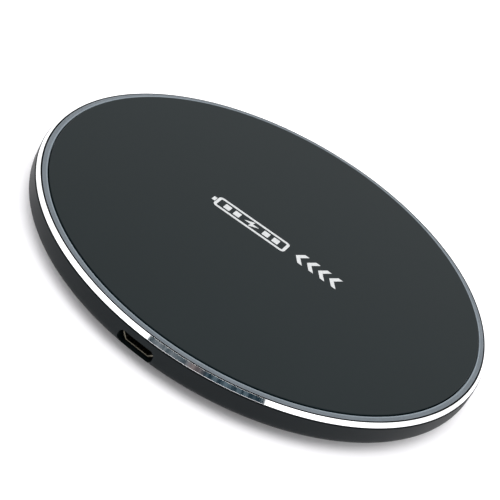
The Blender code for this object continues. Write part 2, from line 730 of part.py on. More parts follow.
def make_socket_contacts(finish):
    """Five bent strips, from under the tongue down to the board behind the block."""
    bend, tail = SHELL_BACK + 0.35 * MM, SHELL_BACK + 1.3 * MM
    top, foot, thick = TONGUE_LOW, BOARD_TOP + LAYER_GAP, CONTACT_THICKNESS
    side = [
        (CONTACT_FRONT, top),
        (bend + thick, top),
        (bend + thick, foot + thick),
        (tail, foot + thick),
        (tail, foot),
        (bend, foot),
        (bend, top - thick),
        (CONTACT_FRONT, top - thick),
    ]
    for number in range(CONTACT_COUNT):
        left = contact_centre(number) - CONTACT_WIDTH / 2
        contact = bmesh.new()
        add_prism(contact, [(left, y, z) for y, z in side], (CONTACT_WIDTH, 0, 0))
        new_object(f"socket_contact_{number + 1}", contact, finish)


# ---------------------------------------------------------------- the whole pad


def main():
    clear_scene()
    soft_black = material("soft_touch_charcoal", (0.030, 0.037, 0.041), 0.55)
    case_black = material("case_black", (0.017, 0.021, 0.023), 0.5)
    bright_metal = material("polished_aluminium", (0.90, 0.91, 0.92), 0.12, 1.0)
    frosted = material("frosted_light_guide", (0.34, 0.38, 0.41), 0.4)
    silicone = material("black_silicone", (0.02, 0.02, 0.021), 0.8)
    frame_grey = material("inner_frame_black", (0.03, 0.03, 0.032), 0.6)
    steel = material("plated_steel", (0.60, 0.60, 0.61), 0.3, 1.0)
    copper = material("enamelled_copper", (0.72, 0.28, 0.11), 0.35, 1.0)
    ferrite = material("ferrite_grey", (0.045, 0.045, 0.05), 0.5)
    tape = material("adhesive_tape", (0.75, 0.74, 0.70), 0.6)
    foam = material("support_foam", (0.04, 0.04, 0.04), 0.95)
    laminate = material("board_green", (0.01, 0.09, 0.035), 0.4)
    chip_black = material("chip_epoxy", (0.015, 0.015, 0.016), 0.5)
    ceramic = material("capacitor_ceramic", (0.42, 0.28, 0.16), 0.5)
    led_white = material("led_package", (0.85, 0.84, 0.72), 0.35)
    resistor = material("resistor_black", (0.03, 0.03, 0.035), 0.4)
    gold = material("gold_plated_contact", (0.83, 0.60, 0.24), 0.25, 1.0)

    make_case(case_black)
    make_bezel(bright_metal)
    make_light_ring(frosted)
    make_face(soft_black, tape)
    make_foot(silicone)
    make_screws(steel)
    make_inner_frame(frame_grey)
    make_coil(copper)
    make_ferrite(ferrite, tape, foam)
    make_board(laminate)
    make_components(chip_black, ceramic, steel, led_white, resistor)
    make_socket_shell(steel)
    make_socket_insulator(chip_black)
    make_socket_contacts(gold)


main()
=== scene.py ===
"""The looks of a round wireless charging pad.

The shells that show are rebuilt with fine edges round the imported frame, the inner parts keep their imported
shapes, and every piece has a procedural material. Positions come from the frame.
"""

import json
import math

import bmesh
import bpy
from mathutils import Matrix, Vector


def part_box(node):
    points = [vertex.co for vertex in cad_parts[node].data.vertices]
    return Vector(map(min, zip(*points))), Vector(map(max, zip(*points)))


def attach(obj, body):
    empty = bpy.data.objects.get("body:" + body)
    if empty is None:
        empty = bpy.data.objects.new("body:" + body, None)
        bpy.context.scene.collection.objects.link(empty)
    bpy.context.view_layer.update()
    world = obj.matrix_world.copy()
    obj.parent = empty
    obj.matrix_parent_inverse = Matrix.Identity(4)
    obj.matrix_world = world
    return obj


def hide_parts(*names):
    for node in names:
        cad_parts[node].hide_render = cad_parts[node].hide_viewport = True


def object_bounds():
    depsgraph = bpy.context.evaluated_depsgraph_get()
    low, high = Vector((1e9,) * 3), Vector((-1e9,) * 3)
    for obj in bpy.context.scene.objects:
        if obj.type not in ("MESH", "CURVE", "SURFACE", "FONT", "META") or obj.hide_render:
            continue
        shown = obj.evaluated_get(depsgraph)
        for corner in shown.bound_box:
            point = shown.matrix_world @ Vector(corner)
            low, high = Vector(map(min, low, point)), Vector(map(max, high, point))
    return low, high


MM = 0.001
ROUND = 240  # sides of the turned pieces
ON_AXIS = 0.001 * MM  # a turned point closer than this to the axis lies on it
ARC_STEP = math.radians(15)  # of a fillet
CREASE = math.radians(30)  # an edge sharper than this stays sharp

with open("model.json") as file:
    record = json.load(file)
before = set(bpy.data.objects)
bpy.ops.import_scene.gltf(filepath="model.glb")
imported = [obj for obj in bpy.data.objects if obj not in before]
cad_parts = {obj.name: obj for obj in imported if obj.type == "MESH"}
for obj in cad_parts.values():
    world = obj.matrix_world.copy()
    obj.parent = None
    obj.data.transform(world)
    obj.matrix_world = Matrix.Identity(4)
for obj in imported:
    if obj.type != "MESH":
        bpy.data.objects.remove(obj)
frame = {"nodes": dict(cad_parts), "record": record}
cad_low, cad_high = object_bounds()

# ---------------------------------------------------------------- dimensions

cover_low, cover_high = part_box("top_cover")

# The rim, from the cover outwards.
FACE_GAP = 0.22 * MM  # round the cover
RIM_STEP = 0.35 * MM  # from the charging face to the light ring's outer edge
RIM_GAP = 0.3 * MM  # between the light ring and the bezel
GROOVE = 0.25 * MM  # height and depth of the shadow line under the bezel
BEZEL_DROP = 1.1 * MM  # from the charging face to the chamfer's lower edge
BEZEL_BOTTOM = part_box("lower_case")[1].z + 0.05 * MM
INK = 0.015 * MM  # thickness of the printed pictogram
COVER_RADIUS = cover_high.x
COVER_TOP = cover_high.z - INK

# The light ring's leg stands beside the LEDs, and is notched over the socket.
RING_UNDERSIDE = 5.95 * MM
RING_LEG = (46.4 * MM, 47.4 * MM)
NOTCH_HALF = 4.8 * MM
NOTCH_HEIGHTS = (3 * MM, 5.75 * MM)
NOTCH_DEPTHS = (48.2 * MM, 45 * MM)

# The case's side: a wall that leans in a little at its top, and rolls under on a superellipse.
WALL_LEAN = 0.05 * MM
WALL_STEPS = 10
ROLL_START = 4.3 * MM
ROLL_REACH = 13.0 * MM
ROLL_POWER = 3.0
CASE_WALL = 1.4 * MM
CASE_FLOOR = 2.0 * MM

# Openings in the case. A flare is (distance along the cut, how much wider and higher it is there).
FOOT_INNER = 32.6 * MM
FOOT_CLEARANCE = 0.1 * MM
VENT_CIRCLE = 27.5 * MM
VENT_COUNT = 12
VENT_SIZE = (1.0 * MM, 4.0 * MM, 0.49 * MM)  # width, length and corner radius
VENT_FLARE = ((0, 0.5 * MM), (0.8 * MM, 0.3 * MM), (1.0 * MM, 0), (3.0 * MM, 0))
SOCKET_HEIGHT = 4.0 * MM
SOCKET_SLOT = (7.9 * MM, 2.75 * MM, 1.1 * MM)  # width, height and corner radius
SLOT_FLARE = ((-46 * MM, 0), (-49.75 * MM, 0), (-50 * MM, 0.1 * MM), (-52 * MM, 0.5 * MM))

# The micro-USB socket.
SHELL_WALL = 0.25 * MM
SHELL_HALF = 3.75 * MM
SHELL_SLANT = (1.0 * MM, 1.1 * MM)  # how far the slanted lower corners reach in and up
SHELL_FOOT_REACH = (3.6 * MM, 4.95 * MM)
SHELL_FOOT_LEVELS = (3.8 * MM, 4.05 * MM)
TONGUE_SIZE = (3.7 * MM, 0.55 * MM, 0.12 * MM)  # width, thickness and corner radius
TONGUE_HEIGHT = 4.325 * MM

# ---------------------------------------------------------------- camera

CAMERA_PLACE = Vector((65.20, -269.79, 171.86)) * MM
CAMERA_AZIMUTH = math.radians(14.2)
CAMERA_ELEVATION = math.radians(31.18)
CAMERA_ROLL = math.radians(29.74)
CAMERA_LENS = 115.2


def make_camera():
    """The photo's view. Its place was found from the circles of the rim."""
    level = Vector((math.cos(CAMERA_AZIMUTH), math.sin(CAMERA_AZIMUTH), 0))
    ahead = Vector((-math.sin(CAMERA_AZIMUTH), math.cos(CAMERA_AZIMUTH), 0)) * math.cos(CAMERA_ELEVATION)
    ahead.z = -math.sin(CAMERA_ELEVATION)
    turn = Matrix.Rotation(-CAMERA_ROLL, 3, ahead)
    right = turn @ level
    up = right.cross(ahead)
    data = bpy.data.cameras.new("camera")
    data.lens = CAMERA_LENS
    data.sensor_width = 36
    data.clip_start = 0.01
    data.clip_end = 20
    camera = bpy.data.objects.new("camera", data)
    facing = Matrix((right, up, -ahead)).transposed()
    camera.matrix_world = Matrix.Translation(CAMERA_PLACE) @ facing.to_4x4()
    bpy.context.scene.collection.objects.link(camera)
    bpy.context.scene.camera = camera


# ---------------------------------------------------------------- node tools


class Nodes:
    """Short calls that build procedural detail from the place that a node tree is asked about."""

    def __init__(self, tree, place):
        self.tree = tree
        self.place = tree.nodes.new("ShaderNodeTexCoord").outputs[place]

    def node(self, kind, **settings):
        made = self.tree.nodes.new("ShaderNode" + kind)
        for setting, value in settings.items():
            setattr(made, setting, value)
        return made

    def link(self, source, target):
        self.tree.links.new(source, target)

    def math(self, operation, first, second=None):
        made = self.node("Math", operation=operation)
        for socket, value in zip(made.inputs, (first, second)):
            if value is None:
                continue
            if isinstance(value, (int, float)):
                socket.default_value = value
            else:
                self.link(value, socket)
        return made.outputs[0]

    def noise(self, grain, detail=2.0, stretch=(1, 1, 1)):
        """Noise whose spots are about grain metres across."""
        texture = self.node("TexNoise")
        texture.inputs["Scale"].default_value = 1.0
        texture.inputs["Detail"].default_value = detail
        mapping = self.node("Mapping")
        mapping.inputs["Scale"].default_value = [factor / grain for factor in stretch]
        self.link(self.place, mapping.inputs["Vector"])
        self.link(mapping.outputs["Vector"], texture.inputs["Vector"])
        return texture.outputs["Fac"]

    def cells(self, size, feature="F1"):
        """Distance to the nearest of random points about size metres apart, in units of size."""
        texture = self.node("TexVoronoi", feature=feature)
        texture.inputs["Scale"].default_value = 1 / size
        self.link(self.place, texture.inputs["Vector"])
        return texture.outputs["Distance"]

    def coordinates(self):
        """X, Y and Z of the place."""
        parts = self.node("SeparateXYZ")
        self.link(self.place, parts.inputs[0])
        return parts.outputs

    def radius(self):
        """Distance from the pad's axis, in metres."""
        x, y, _ = self.coordinates()
        return self.math("SQRT", self.math("ADD", self.math("POWER", x, 2.0), self.math("POWER", y, 2.0)))

    def rings(self, pitch):
        """Random concentric lines about pitch metres apart, as a lathe leaves."""
        texture = self.node("TexNoise", noise_dimensions="1D")
        texture.inputs["Scale"].default_value = 1.0
        texture.inputs["Detail"].default_value = 3.0
        self.link(self.math("MULTIPLY", self.radius(), 1 / pitch), texture.inputs["W"])
        return texture.outputs["Fac"]

    def ramp(self, value, low, high, start, end):
        """Maps value from low..high to start..end."""
        made = self.node("MapRange")
        made.inputs["From Min"].default_value = low
        made.inputs["From Max"].default_value = high
        made.inputs["To Min"].default_value = start
        made.inputs["To Max"].default_value = end
        self.link(value, made.inputs["Value"])
        return made.outputs["Result"]

    def mix(self, share, first, second):
        """A colour between first and second, each a colour or another node's output."""
        made = self.node("Mix", data_type="RGBA")
        self.link(share, made.inputs["Factor"])
        for socket, value in zip((made.inputs[6], made.inputs[7]), (first, second)):
            if isinstance(value, tuple):
                socket.default_value = (*value, 1.0)
            else:
                self.link(value, socket)
        return made.outputs[2]


class Finish(Nodes):
    """A Principled material with procedural detail in object space."""

    def __init__(self, name, colour, roughness, metallic=0.0, **sockets):
        self.material = bpy.data.materials.new(name)
        self.material.use_nodes = True
        super().__init__(self.material.node_tree, "Object")
        self.shader = self.tree.nodes["Principled BSDF"]
        self.shader.inputs["Base Color"].default_value = (*colour, 1.0)
        self.shader.inputs["Roughness"].default_value = roughness
        self.shader.inputs["Metallic"].default_value = metallic
        for socket, value in sockets.items():
            self.shader.inputs[socket.replace("_", " ")].default_value = value

    def colour(self, output):
        self.link(output, self.shader.inputs["Base Color"])

    def roughness(self, value, low, high, start, end):
        self.link(self.ramp(value, low, high, start, end), self.shader.inputs["Roughness"])

    def bump(self, *layers):
        """Chains bumps, each (height output, depth in metres of its full swing)."""
        normal = None
        for height, depth in layers:
            made = self.node("Bump")
            made.inputs["Strength"].default_value = 1.0
            made.inputs["Distance"].default_value = depth
            self.link(height, made.inputs["Height"])
            if normal:
                self.link(normal, made.inputs["Normal"])
            normal = made.outputs["Normal"]
        self.link(normal, self.shader.inputs["Normal"])


# ---------------------------------------------------------------- studio

# The light tent: its brightness at the horizon and overhead, and its dark opening in front of the pad.
TENT_LOW = 1.6
TENT_HIGH = 2.3
FRONT_GAIN = 0.25
FRONT_AZIMUTH = math.radians(-75)
OPENING_START = math.radians(-104.0)
OPENING_END = math.radians(-41.5)
OPENING_BOTTOM = math.sin(math.radians(30))
OPENING_TOP = math.sin(math.radians(48))
OPENING_SOFT = math.radians(0.5)
OPENING_FADES = (0.03, 0.02)  # how softly it ends below and above, as a share of the sky's height
STAND_AZIMUTH = math.radians(-78)  # a brown stand is seen in the opening
STAND_HALF = math.radians(6)
FLOOR_HALF = 4.0


def make_tent():
    """A white tent round the pad, brightest overhead, with a dark opening where the camera stands."""
    world = bpy.data.worlds.new("light_tent")
    world.use_nodes = True
    tent = Nodes(world.node_tree, "Generated")
    x, y, z = tent.coordinates()
    rise = tent.math("MAXIMUM", z, 0.0)
    level = tent.ramp(tent.math("POWER", rise, 1.5), 0, 1, TENT_LOW, TENT_HIGH)
    sideways = tent.math("MULTIPLY", x, FRONT_GAIN * math.cos(FRONT_AZIMUTH))
    forwards = tent.math("MULTIPLY", y, FRONT_GAIN * math.sin(FRONT_AZIMUTH))
    gain = tent.math("ADD", tent.math("ADD", sideways, forwards), 1.0)
    white = tent.math("MULTIPLY", level, gain)
    turn = tent.math("ARCTAN2", y, x)
    begun = tent.ramp(turn, OPENING_START - OPENING_SOFT, OPENING_START + OPENING_SOFT, 0, 1)
    ended = tent.ramp(turn, OPENING_END - OPENING_SOFT, OPENING_END + OPENING_SOFT, 1, 0)
    bottom_fade, top_fade = OPENING_FADES
    above = tent.ramp(rise, OPENING_BOTTOM, OPENING_BOTTOM + bottom_fade, 0, 1)
    below = tent.ramp(rise, OPENING_TOP, OPENING_TOP + top_fade, 1, 0)
    across = tent.math("MULTIPLY", begun, ended)
    opening = tent.math("MULTIPLY", across, tent.math("MULTIPLY", above, below))
    # The room behind the camera: dark and blue, with lighter slats, and greyer on one side.
    slats = tent.ramp(tent.noise(0.022, 1.0, (1, 1, 0.15)), 0.44, 0.60, 0, 1)
    blue = tent.mix(slats, (0.014, 0.032, 0.046), (0.110, 0.155, 0.185))
    grey = tent.mix(slats, (0.055, 0.080, 0.095), (0.190, 0.215, 0.235))
    side = tent.ramp(turn, STAND_AZIMUTH - 2 * STAND_HALF, STAND_AZIMUTH + STAND_HALF, 0, 1)
    offset = tent.math("ABSOLUTE", tent.math("SUBTRACT", turn, STAND_AZIMUTH))
    stand = tent.mix(slats, (0.110, 0.095, 0.100), (0.230, 0.195, 0.195))
    beside = tent.ramp(offset, 0.3 * STAND_HALF, STAND_HALF, 1, 0)
    room = tent.mix(beside, tent.mix(side, grey, blue), stand)
    background = world.node_tree.nodes["Background"]
    tent.link(tent.mix(opening, white, room), background.inputs["Color"])
    bpy.context.scene.world = world
    bpy.context.scene.view_settings.view_transform = "Standard"


def pale_floor():
    """White card with a barely visible cloudiness."""
    finish = Finish("pale_floor", (0.91, 0.90, 0.92), 0.7)
    cloud = finish.noise(0.3)
    finish.colour(finish.mix(cloud, (0.895, 0.885, 0.905), (0.920, 0.910, 0.930)))
    return finish.material


def make_floor():
    """A wide plain floor, which isn't part of the object."""
    mesh = bmesh.new()
    half = FLOOR_HALF
    corners = ((-half, -half, 0), (half, -half, 0), (half, half, 0), (-half, half, 0))
    mesh.faces.new([mesh.verts.new(corner) for corner in corners])
    linked("floor", mesh, pale_floor())


# ---------------------------------------------------------------- materials


def soft_touch():
    """The cover's rubbery charcoal lacquer: a fine grain, a faint cloudiness and slightly uneven sheen."""
    finish = Finish("soft_touch_charcoal", (0.003, 0.006, 0.007), 0.5, Specular_IOR_Level=0.11)
    grain = finish.noise(0.22 * MM, 3.0)
    cloud = finish.noise(22 * MM, 3.0)
    tone = finish.math("ADD", finish.math("MULTIPLY", grain, 0.45), finish.math("MULTIPLY", cloud, 0.55))
    share = finish.ramp(tone, 0.35, 0.65, 0, 1)
    finish.colour(finish.mix(share, (0.0006, 0.0042, 0.0052), (0.0022, 0.0062, 0.0074)))
    finish.roughness(cloud, 0.3, 0.7, 0.49, 0.52)
    finish.bump((grain, 0.006 * MM))
    # The cover's side takes no shine, so it stays dark: painted shade for the shadow line round the cover.
    height = finish.coordinates()[2]
    shine_with_painted_side_shade = finish.ramp(height, COVER_TOP - 0.14 * MM, COVER_TOP - 0.06 * MM, 0.0, 0.11)
    finish.link(shine_with_painted_side_shade, finish.shader.inputs["Specular IOR Level"])
    return finish.material


def frosted_guide():
    """Frosted polycarbonate, dull on top, with a milky depth and moulding flow marks."""
    finish = Finish(
        "frosted_light_guide",
        (0.12, 0.14, 0.155),
        0.42,
        Subsurface_Weight=0.15,
        Subsurface_Radius=(0.6 * MM, 0.6 * MM, 0.7 * MM),
        Subsurface_Scale=1.0,
        Specular_IOR_Level=0.08,
    )
    frost = finish.noise(0.12 * MM, 2.0)
    flow = finish.noise(6 * MM, 2.0)
    share = finish.ramp(finish.math("ADD", frost, flow), 0.75, 1.25, 0, 1)
    tone = finish.mix(share, (0.086, 0.101, 0.115), (0.107, 0.123, 0.138))
    # A painted highlight: the edge beside the cover is lighter, standing in for the light caught by its
    # rounded lip.
    painted_edge_highlight = finish.ramp(finish.radius(), COVER_RADIUS + 0.40 * MM, COVER_RADIUS + 0.60 * MM, 1, 0)
    tone = finish.mix(painted_edge_highlight, tone, (0.155, 0.182, 0.205))
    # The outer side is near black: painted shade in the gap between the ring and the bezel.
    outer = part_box("light_ring")[1].x
    painted_gap_shade = finish.ramp(finish.radius(), outer - 0.02 * MM, outer - 0.01 * MM, 0, 1)
    finish.colour(finish.mix(painted_gap_shade, tone, (0.004, 0.004, 0.004)))
    finish.roughness(frost, 0.3, 0.7, 0.36, 0.50)
    finish.bump((frost, 0.004 * MM))
    return finish.material


def cut_aluminium():
    """Bright diamond-cut aluminium with the fine turning lines of the cut."""
    finish = Finish("diamond_cut_aluminium", (0.85, 0.86, 0.87), 0.04, 1.0)
    lines = finish.rings(0.05 * MM)
    haze = finish.noise(3 * MM, 3.0)
    bright = finish.mix(finish.ramp(haze, 0.35, 0.65, 0, 1), (0.80, 0.81, 0.82), (0.90, 0.91, 0.92))
    # The underside and the skirt are uncut and dull; their near black is painted shade under the bezel and
    # down in the case.
    height = finish.coordinates()[2]
    uncut_painted_shade = finish.ramp(height, BEZEL_BOTTOM + 0.005 * MM, BEZEL_BOTTOM + 0.015 * MM, 1, 0)
    finish.colour(finish.mix(uncut_painted_shade, bright, (0.015, 0.015, 0.015)))
    turning = finish.ramp(lines, 0.3, 0.7, 0.03, 0.06)
    finish.roughness(finish.math("ADD", turning, finish.math("MULTIPLY", uncut_painted_shade, 0.6)), 0, 1, 0, 1)
    finish.bump((lines, 0.00015 * MM))
    return finish.material


def moulded_black():
    """The case's spark-textured black plastic."""
    finish = Finish("moulded_black", (0.002, 0.003, 0.004), 0.5, Specular_IOR_Level=0.15)
    spark = finish.noise(0.18 * MM, 3.0)
    cloud = finish.noise(15 * MM, 2.0)
    share = finish.ramp(finish.math("ADD", spark, cloud), 0.75, 1.25, 0, 1)
    finish.colour(finish.mix(share, (0.0006, 0.0022, 0.0030), (0.0016, 0.0036, 0.0046)))
    finish.roughness(cloud, 0.3, 0.7, 0.46, 0.54)
    finish.bump((spark, 0.004 * MM))
    return finish.material


def silicone():
    """Dull silicone with a dry bloom and specks of dust."""
    finish = Finish("black_silicone", (0.02, 0.02, 0.021), 0.7)
    bloom = finish.noise(3 * MM, 4.0)
    dust = finish.cells(0.9 * MM)
    base = finish.mix(finish.ramp(bloom, 0.35, 0.65, 0, 1), (0.014, 0.014, 0.015), (0.027, 0.027, 0.029))
    finish.colour(finish.mix(finish.ramp(dust, 0.05, 0.09, 0.5, 0), base, (0.20, 0.19, 0.18)))
    finish.roughness(bloom, 0.3, 0.7, 0.62, 0.80)
    finish.bump((finish.noise(0.15 * MM), 0.006 * MM))
    return finish.material


def plated_steel(name="dark_nickel_plated_steel", light=(0.13, 0.12, 0.095), dark=(0.08, 0.072, 0.058)):
    """Plated sheet or wire in two tones, with drawing lines along Y."""
    finish = Finish(name, light, 0.28, 1.0)
    grain = finish.noise(0.25 * MM, 3.0, (1, 0.08, 1))
    stain = finish.noise(2.5 * MM, 3.0)
    finish.colour(finish.mix(finish.ramp(stain, 0.3, 0.7, 0, 1), dark, light))
    finish.roughness(grain, 0.3, 0.7, 0.20, 0.36)
    finish.bump((grain, 0.002 * MM))
    return finish.material


def moulded_insert(name, low, high, roughness=0.5):
    """Plain engineering plastic in two close tones with a fine grain."""
    finish = Finish(name, high, roughness)
    grain = finish.noise(0.1 * MM, 2.0)
    flow = finish.noise(4 * MM, 2.0)
    share = finish.ramp(finish.math("ADD", grain, flow), 0.75, 1.25, 0, 1)
    finish.colour(finish.mix(share, low, high))
    finish.roughness(flow, 0.3, 0.7, roughness - 0.06, roughness + 0.06)
    finish.bump((grain, 0.003 * MM))
    return finish.material


def gold_plating():
    """Thin gold on the contacts, with drawing lines along Y."""
    finish = Finish("gold_plating", (0.83, 0.60, 0.24), 0.22, 1.0)
    grain = finish.noise(0.2 * MM, 3.0, (1, 0.1, 1))
    finish.colour(finish.mix(finish.ramp(grain, 0.3, 0.7, 0, 1), (0.74, 0.51, 0.19), (0.86, 0.64, 0.28)))
    finish.roughness(grain, 0.3, 0.7, 0.16, 0.30)
    return finish.material


def printed_ink():
    """Matt white screen-printing ink, very slightly uneven in its cover."""
    finish = Finish("white_ink", (0.36, 0.37, 0.375), 0.5)
    mottle = finish.noise(0.35 * MM, 3.0)
    finish.colour(finish.mix(finish.ramp(mottle, 0.3, 0.7, 0, 1), (0.33, 0.34, 0.345), (0.46, 0.47, 0.475)))
    finish.roughness(mottle, 0.3, 0.7, 0.45, 0.60)
    finish.bump((mottle, 0.003 * MM))
    return finish.material


def enamelled_copper():
    """Bunched copper strands under clear enamel."""
    finish = Finish("enamelled_copper", (0.72, 0.28, 0.11), 0.3, 1.0, Coat_Weight=0.6)
    strands = finish.noise(0.12 * MM, 2.0)
    tone = finish.noise(5 * MM, 2.0)
    share = finish.ramp(finish.math("ADD", strands, tone), 0.7, 1.3, 0, 1)
    finish.colour(finish.mix(share, (0.52, 0.17, 0.06), (0.82, 0.36, 0.15)))
    finish.roughness(strands, 0.3, 0.7, 0.24, 0.40)
    finish.bump((strands, 0.02 * MM))
    return finish.material


def sintered_ferrite():
    """Dark gritty ceramic with lighter grains."""
    finish = Finish("sintered_ferrite", (0.045, 0.045, 0.05), 0.45)
    grit = finish.cells(0.25 * MM)
    cloud = finish.noise(8 * MM, 3.0)
    base = finish.mix(finish.ramp(cloud, 0.3, 0.7, 0, 1), (0.030, 0.030, 0.034), (0.055, 0.055, 0.060))
    finish.colour(finish.mix(finish.ramp(grit, 0.1, 0.35, 0.6, 0), base, (0.12, 0.12, 0.13)))
    finish.roughness(grit, 0.1, 0.7, 0.35, 0.55)
    finish.bump((grit, 0.01 * MM))
    return finish.material


def crepe_tape():
    """Off-white adhesive tape with a crinkle and small bubbles."""
    finish = Finish("adhesive_tape", (0.72, 0.70, 0.64), 0.6)
    weave = finish.noise(0.3 * MM, 2.0, (1, 3, 1))
    bubble = finish.cells(1.6 * MM)
    base = finish.mix(finish.ramp(weave, 0.3, 0.7, 0, 1), (0.62, 0.60, 0.54), (0.78, 0.76, 0.71))
    finish.colour(finish.mix(finish.ramp(bubble, 0.06, 0.12, 0.6, 0), base, (0.85, 0.84, 0.80)))
    finish.roughness(weave, 0.3, 0.7, 0.5, 0.7)
    finish.bump((weave, 0.01 * MM))
    return finish.material


def open_foam():
    """Black foam with open pores."""
    finish = Finish("open_cell_foam", (0.03, 0.03, 0.03), 0.95)
    pores = finish.cells(0.45 * MM)
    share = finish.ramp(pores, 0.1, 0.6, 0, 1)
    finish.colour(finish.mix(share, (0.010, 0.010, 0.010), (0.055, 0.055, 0.056)))
    finish.roughness(pores, 0.1, 0.6, 0.98, 0.85)
    finish.bump((pores, 0.15 * MM))
    return finish.material


def solder_mask():
    """Green solder mask over copper tracks that run round the board, with a weave in the laminate."""
    finish = Finish("green_solder_mask", (0.01, 0.09, 0.035), 0.3, Coat_Weight=0.4)
    tracks = finish.node("TexWave", wave_type="RINGS", rings_direction="Z")
    tracks.inputs["Scale"].default_value = 1 / (6.28 * MM)
    tracks.inputs["Distortion"].default_value = 1.2
    tracks.inputs["Detail"].default_value = 1.0
    tracks.inputs["Detail Scale"].default_value = 0.6
    finish.link(finish.place, tracks.inputs["Vector"])
    islands = finish.noise(5 * MM, 1.0)
    copper = finish.math(
        "MULTIPLY",
        finish.ramp(tracks.outputs["Fac"], 0.45, 0.50, 0, 1),
        finish.ramp(islands, 0.47, 0.50, 0, 1),
    )
    weave = finish.noise(0.35 * MM, 1.0, (1, 4, 1))
    mask = finish.mix(finish.ramp(weave, 0.3, 0.7, 0, 1), (0.006, 0.060, 0.025), (0.011, 0.085, 0.036))
    finish.colour(finish.mix(copper, mask, (0.020, 0.160, 0.060)))
    finish.roughness(weave, 0.3, 0.7, 0.24, 0.36)
    finish.bump((copper, 0.035 * MM))
    return finish.material


def fired_ceramic():
    """Tan ceramic with darker flecks."""
    finish = Finish("capacitor_ceramic", (0.42, 0.28, 0.16), 0.45)
    fleck = finish.cells(0.18 * MM)
    cloud = finish.noise(1.5 * MM, 3.0)
    base = finish.mix(finish.ramp(cloud, 0.3, 0.7, 0, 1), (0.34, 0.22, 0.12), (0.47, 0.32, 0.19))
    finish.colour(finish.mix(finish.ramp(fleck, 0.1, 0.3, 0.5, 0), base, (0.25, 0.16, 0.09)))
    finish.roughness(cloud, 0.3, 0.7, 0.38, 0.52)
    finish.bump((fleck, 0.005 * MM))
    return finish.material


def led_package():
    """White resin with a yellow phosphor tint in patches."""
    finish = Finish("led_package", (0.85, 0.84, 0.72), 0.3, Coat_Weight=0.3)
    phosphor = finish.noise(1.1 * MM, 1.0)
    share = finish.ramp(phosphor, 0.42, 0.58, 0, 1)
    finish.colour(finish.mix(share, (0.86, 0.86, 0.83), (0.86, 0.74, 0.30)))
    finish.roughness(phosphor, 0.3, 0.7, 0.22, 0.38)
    finish.bump((finish.noise(0.1 * MM), 0.003 * MM))
    return finish.material


# ---------------------------------------------------------------- mesh tools


def linked(name, mesh, material):
    """Links a bmesh as an object with outward normals, smooth but for its sharp edges."""
    bmesh.ops.recalc_face_normals(mesh, faces=mesh.faces)
    data = bpy.data.meshes.new(name)
    mesh.to_mesh(data)
    mesh.free()
    data.materials.append(material)
    data.shade_smooth()
    data.set_sharp_from_angle(angle=CREASE)
    made = bpy.data.objects.new(name, data)
    bpy.context.scene.collection.objects.link(made)
    return made


def filleted(corners, closed=True):
    """Outline points of (u, v, fillet radius) corners, with each fillet drawn as an arc."""
    points = []
    for at, (u, v, fillet) in enumerate(corners):
        here = Vector((u, v))
        if not fillet or (not closed and at in (0, len(corners) - 1)):
            points.append(here)
            continue
        back = (Vector(corners[at - 1][:2]) - here).normalized()
        on = (Vector(corners[(at + 1) % len(corners)][:2]) - here).normalized()
        half = back.angle(on) / 2
        centre = here + (back + on).normalized() * fillet / math.sin(half)
        start = here + back * fillet / math.tan(half) - centre
        end = here + on * fillet / math.tan(half) - centre
        turn = math.atan2(start.x * end.y - start.y * end.x, start.dot(end))
        steps = max(2, math.ceil(abs(turn) / ARC_STEP - 0.01))
        for step in range(steps + 1):
            points.append(centre + Matrix.Rotation(turn * step / steps, 2) @ start)
    return points


def turned(name, outline, material, closed=True):
    """A body of revolution about +Z from (radius, height) points. A point on the axis is one vertex."""
    mesh = bmesh.new()
    rings = []
    for radius, height in outline:
        count = ROUND if radius > ON_AXIS else 1
        turns = [math.tau * at / ROUND for at in range(count)]
        rings.append([mesh.verts.new((radius * math.cos(t), radius * math.sin(t), height)) for t in turns])
    for low, high in zip(rings, rings[1:] + rings[:1] * closed):
        if len(low) == len(high) == 1:
            continue
        for at in range(ROUND):
            after = (at + 1) % ROUND
            sides = ((low, at), (low, after), (high, after), (high, at))
            mesh.faces.new(list(dict.fromkeys(ring[side % len(ring)] for ring, side in sides)))
    return linked(name, mesh, material)


def add_loft(mesh, sections):
    """A closed solid through loops of equally many points, capped at both ends."""
    loops = [[mesh.verts.new(point) for point in section] for section in sections]
    for low, high in zip(loops, loops[1:]):
        for at in range(len(low)):
            after = (at + 1) % len(low)
            mesh.faces.new((low[at], low[after], high[after], high[at]))
    mesh.faces.new(loops[0])
    mesh.faces.new(loops[-1])


def rounded_box(width, height, corner):
    """Outline of a rectangle with round corners, centred on 0."""
    x, y = width / 2, height / 2
    return filleted([(x, -y, corner), (x, y, corner), (-x, y, corner), (-x, -y, corner)])


def cut(target, name, mesh):
    """Subtracts a closed bmesh from a piece."""
    cutter = linked(name, mesh, target.data.materials[0])
    modifier = target.modifiers.new(name, "BOOLEAN")
    modifier.operation = "DIFFERENCE"
    modifier.solver = "EXACT"
    modifier.object = cutter
    with bpy.context.temp_override(object=target, active_object=target):
        bpy.ops.object.modifier_apply(modifier=name)
    bpy.data.objects.remove(cutter)
    target.data.set_sharp_from_angle(angle=CREASE)


def flatten(piece):
    """Lets the large faces of a piece set its normals, so that only its fillets shade round."""
    modifier = piece.modifiers.new("flatten", "WEIGHTED_NORMAL")
    modifier.keep_sharp = True
    modifier.weight = 100
    with bpy.context.temp_override(object=piece, active_object=piece):
        bpy.ops.object.modifier_apply(modifier=modifier.name)


def place(piece, slot, *nodes):
    """Rides a finished piece on the pad, in the place of the CAD nodes. The slot is not used."""
    flatten(piece)
    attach(piece, "root")
    if nodes:
        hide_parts(*nodes)


# ---------------------------------------------------------------- the shells that show


